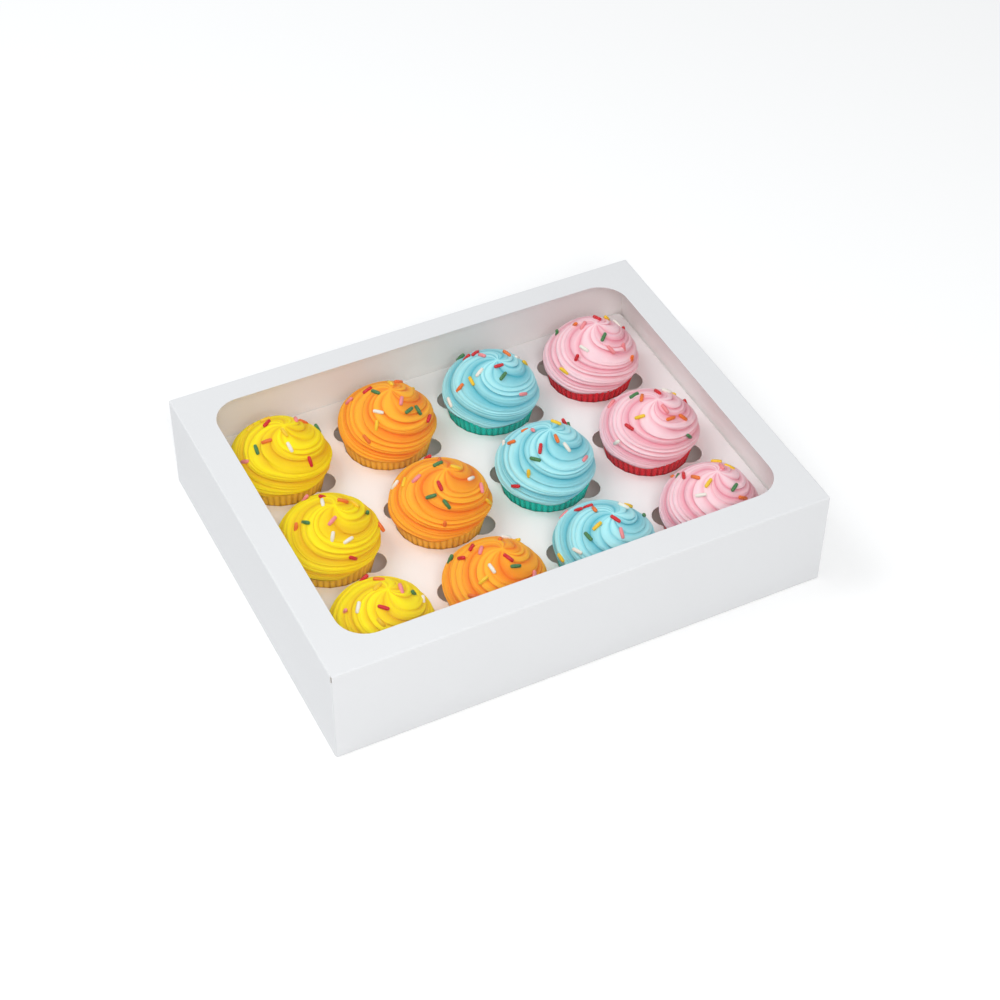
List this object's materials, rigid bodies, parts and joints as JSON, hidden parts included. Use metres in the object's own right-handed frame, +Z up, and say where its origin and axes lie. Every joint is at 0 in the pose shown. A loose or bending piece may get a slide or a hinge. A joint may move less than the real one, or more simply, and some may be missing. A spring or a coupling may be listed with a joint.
{
  "type": "cupcake box",
  "caption": "Low white card box with a hinged window lid, a holed insert and iced cupcakes in pleated liners standing in it.",
  "frame": {"origin": "middle of the underside of the tray", "axes": "+X along the long side, -Y towards the front panel, +Z up towards the window"},
  "size_m": [0.356, 0.278, 0.076],
  "materials": {
    "white_card": "satin",
    "insert_card": "matte",
    "clear_film": "gloss",
    "cake": "matte",
    "liner_yellow": "matte",
    "liner_orange": "matte",
    "liner_cyan": "matte",
    "liner_pink": "matte",
    "icing_yellow": "satin",
    "icing_orange": "satin",
    "icing_cyan": "satin",
    "icing_pink": "satin"
  },
  "bodies": {
    "tray": {"tray": "white_card", "insert": "insert_card", "liner_r1_c1": "liner_yellow", "cake_r1_c1": "cake", "icing_r1_c1": "icing_yellow", "liner_r1_c2": "liner_orange", "cake_r1_c2": "cake", "icing_r1_c2": "icing_orange", "liner_r1_c3": "liner_cyan", "cake_r1_c3": "cake", "icing_r1_c3": "icing_cyan", "liner_r1_c4": "liner_pink", "cake_r1_c4": "cake", "icing_r1_c4": "icing_pink", "liner_r2_c1": "liner_yellow", "cake_r2_c1": "cake", "icing_r2_c1": "icing_yellow", "liner_r2_c2": "liner_orange", "cake_r2_c2": "cake", "icing_r2_c2": "icing_orange", "liner_r2_c3": "liner_cyan", "cake_r2_c3": "cake", "icing_r2_c3": "icing_cyan", "liner_r2_c4": "liner_pink", "cake_r2_c4": "cake", "icing_r2_c4": "icing_pink", "liner_r3_c1": "liner_yellow", "cake_r3_c1": "cake", "icing_r3_c1": "icing_yellow", "liner_r3_c2": "liner_orange", "cake_r3_c2": "cake", "icing_r3_c2": "icing_orange", "liner_r3_c3": "liner_cyan", "cake_r3_c3": "cake", "icing_r3_c3": "icing_cyan", "liner_r3_c4": "liner_pink", "cake_r3_c4": "cake", "icing_r3_c4": "icing_pink"},
    "lid": {"lid": "white_card", "window_film": "clear_film"}
  },
  "joints": [
    {"name": "lid_hinge", "type": "hinge", "parent": "tray", "child": "lid", "pos_m": [0, 0.139, 0.0753], "axis": [-1, 0, 0], "range_deg": [0, 175]}
  ]
}
